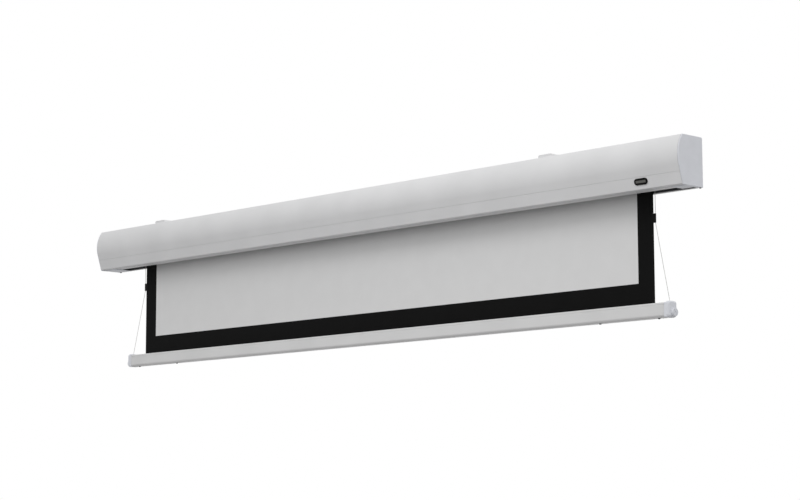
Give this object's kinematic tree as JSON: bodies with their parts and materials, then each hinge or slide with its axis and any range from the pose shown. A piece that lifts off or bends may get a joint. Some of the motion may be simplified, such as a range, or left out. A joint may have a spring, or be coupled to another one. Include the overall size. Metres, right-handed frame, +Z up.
{
  "type": "motorized projection screen",
  "caption": "Motorized tab-tensioned projection screen: a bulging case with a motor-driven roller, a partly lowered sheet with corded side tabs, and a weight bar.",
  "frame": {"origin": "centre of the case's flat back face", "axes": "+X along the case, to the viewer's right; +Y out of the back, towards the wall; +Z up"},
  "size_m": [2.821, 0.114, 0.5318],
  "materials": {
    "case_paint": "white powder coat, satin",
    "cap_plastic": "white moulded plastic, satin",
    "bar_paint": "white powder coat, satin",
    "bracket_paint": "white powder coat, satin",
    "sheet_white": "matt white projection vinyl",
    "sheet_black": "matt black border coating",
    "black_plastic": "black moulded plastic",
    "badge_metal": "fine brushed",
    "cord": "braided white cord",
    "aluminium": "mill finish extrusion",
    "steel": "bright steel",
    "zinc_plate": "zinc plated sheet steel",
    "dark_steel": "black oxide",
    "nylon": "moulded nylon"
  },
  "bodies": {
    "case": {"case_housing": "case_paint", "lower_front_panel": "case_paint", "left_end_cap": "cap_plastic", "right_end_cap": "cap_plastic", "left_cap_screw": "dark_steel", "right_cap_screw": "dark_steel", "cable_gland": "black_plastic", "badge_surround": "black_plastic", "badge_plate": "badge_metal", "motor_tube": "aluminium", "motor_head": "black_plastic", "idler_bearing": "steel", "motor_bracket": "zinc_plate", "idler_bracket": "zinc_plate", "receiver_box": "black_plastic", "receiver_lid": "black_plastic", "picture_surface": "sheet_white", "left_border": "sheet_black", "right_border": "sheet_black", "bottom_border": "sheet_black", "left_upper_cord": "cord", "right_upper_cord": "cord", "left_lower_cord": "cord", "right_lower_cord": "cord"},
    "roller": {"roller_tube": "aluminium", "fabric_anchor_rod": "steel", "fabric_roll": "sheet_white", "left_cord_winding": "cord", "right_cord_winding": "cord", "motor_crown": "nylon", "drive_wheel": "nylon", "drive_shaft": "steel", "idler_plug": "nylon", "idler_pin": "steel"},
    "weight_bar": {"weight_bar": "bar_paint", "hem_rod": "nylon", "left_bar_cap": "cap_plastic", "right_bar_cap": "cap_plastic", "left_anchor_strip": "steel", "right_anchor_strip": "steel", "bar_screw_1": "dark_steel", "bar_screw_2": "dark_steel", "bar_screw_3": "dark_steel", "bar_screw_4": "dark_steel"},
    "edge_tabs": {"left_tab": "black_plastic", "right_tab": "black_plastic"},
    "left_knob": {"left_tension_knob": "cap_plastic"},
    "right_knob": {"right_tension_knob": "cap_plastic"},
    "left_hanger": {"left_hanging_bracket": "bracket_paint", "left_clamp_screw": "steel", "left_rail_nut": "steel"},
    "right_hanger": {"right_hanging_bracket": "bracket_paint", "right_clamp_screw": "steel", "right_rail_nut": "steel"}
  },
  "joints": [
    {"name": "roller_spin", "type": "hinge", "parent": "case", "child": "roller", "pos_m": [0, -0.04864, 0.011], "axis": [1, 0, 0], "range_deg": [-1638, 469.9]},
    {"name": "bar_travel", "type": "slide", "parent": "case", "child": "weight_bar", "axis": [0, 0, 1], "range_m": [-1.119, 0.321], "deforming": ["picture_surface", "left_border", "right_border", "bottom_border", "left_lower_cord", "right_lower_cord"]},
    {"name": "tabs_travel", "type": "slide", "parent": "case", "child": "edge_tabs", "axis": [0, 0, 1], "range_m": [-0.365, 0.1051], "deforming": ["left_upper_cord", "right_upper_cord"]},
    {"name": "left_knob_turn", "type": "hinge", "parent": "weight_bar", "child": "left_knob", "pos_m": [-1.3015, -0.019, -0.433], "axis": [1, 0, 0], "continuous": true},
    {"name": "right_knob_turn", "type": "hinge", "parent": "weight_bar", "child": "right_knob", "pos_m": [1.3015, -0.019, -0.433], "axis": [1, 0, 0], "continuous": true},
    {"name": "left_hanger_slide", "type": "slide", "parent": "case", "child": "left_hanger", "axis": [1, 0, 0], "range_m": [-0.15, 0.15]},
    {"name": "right_hanger_slide", "type": "slide", "parent": "case", "child": "right_hanger", "axis": [1, 0, 0], "range_m": [-0.15, 0.15]}
  ],
  "couplings": [
    {"joint": "bar_travel", "follows": "roller_spin", "m_per_rad": 0.03914},
    {"joint": "tabs_travel", "follows": "roller_spin", "m_per_rad": 0.012751}
  ]
}
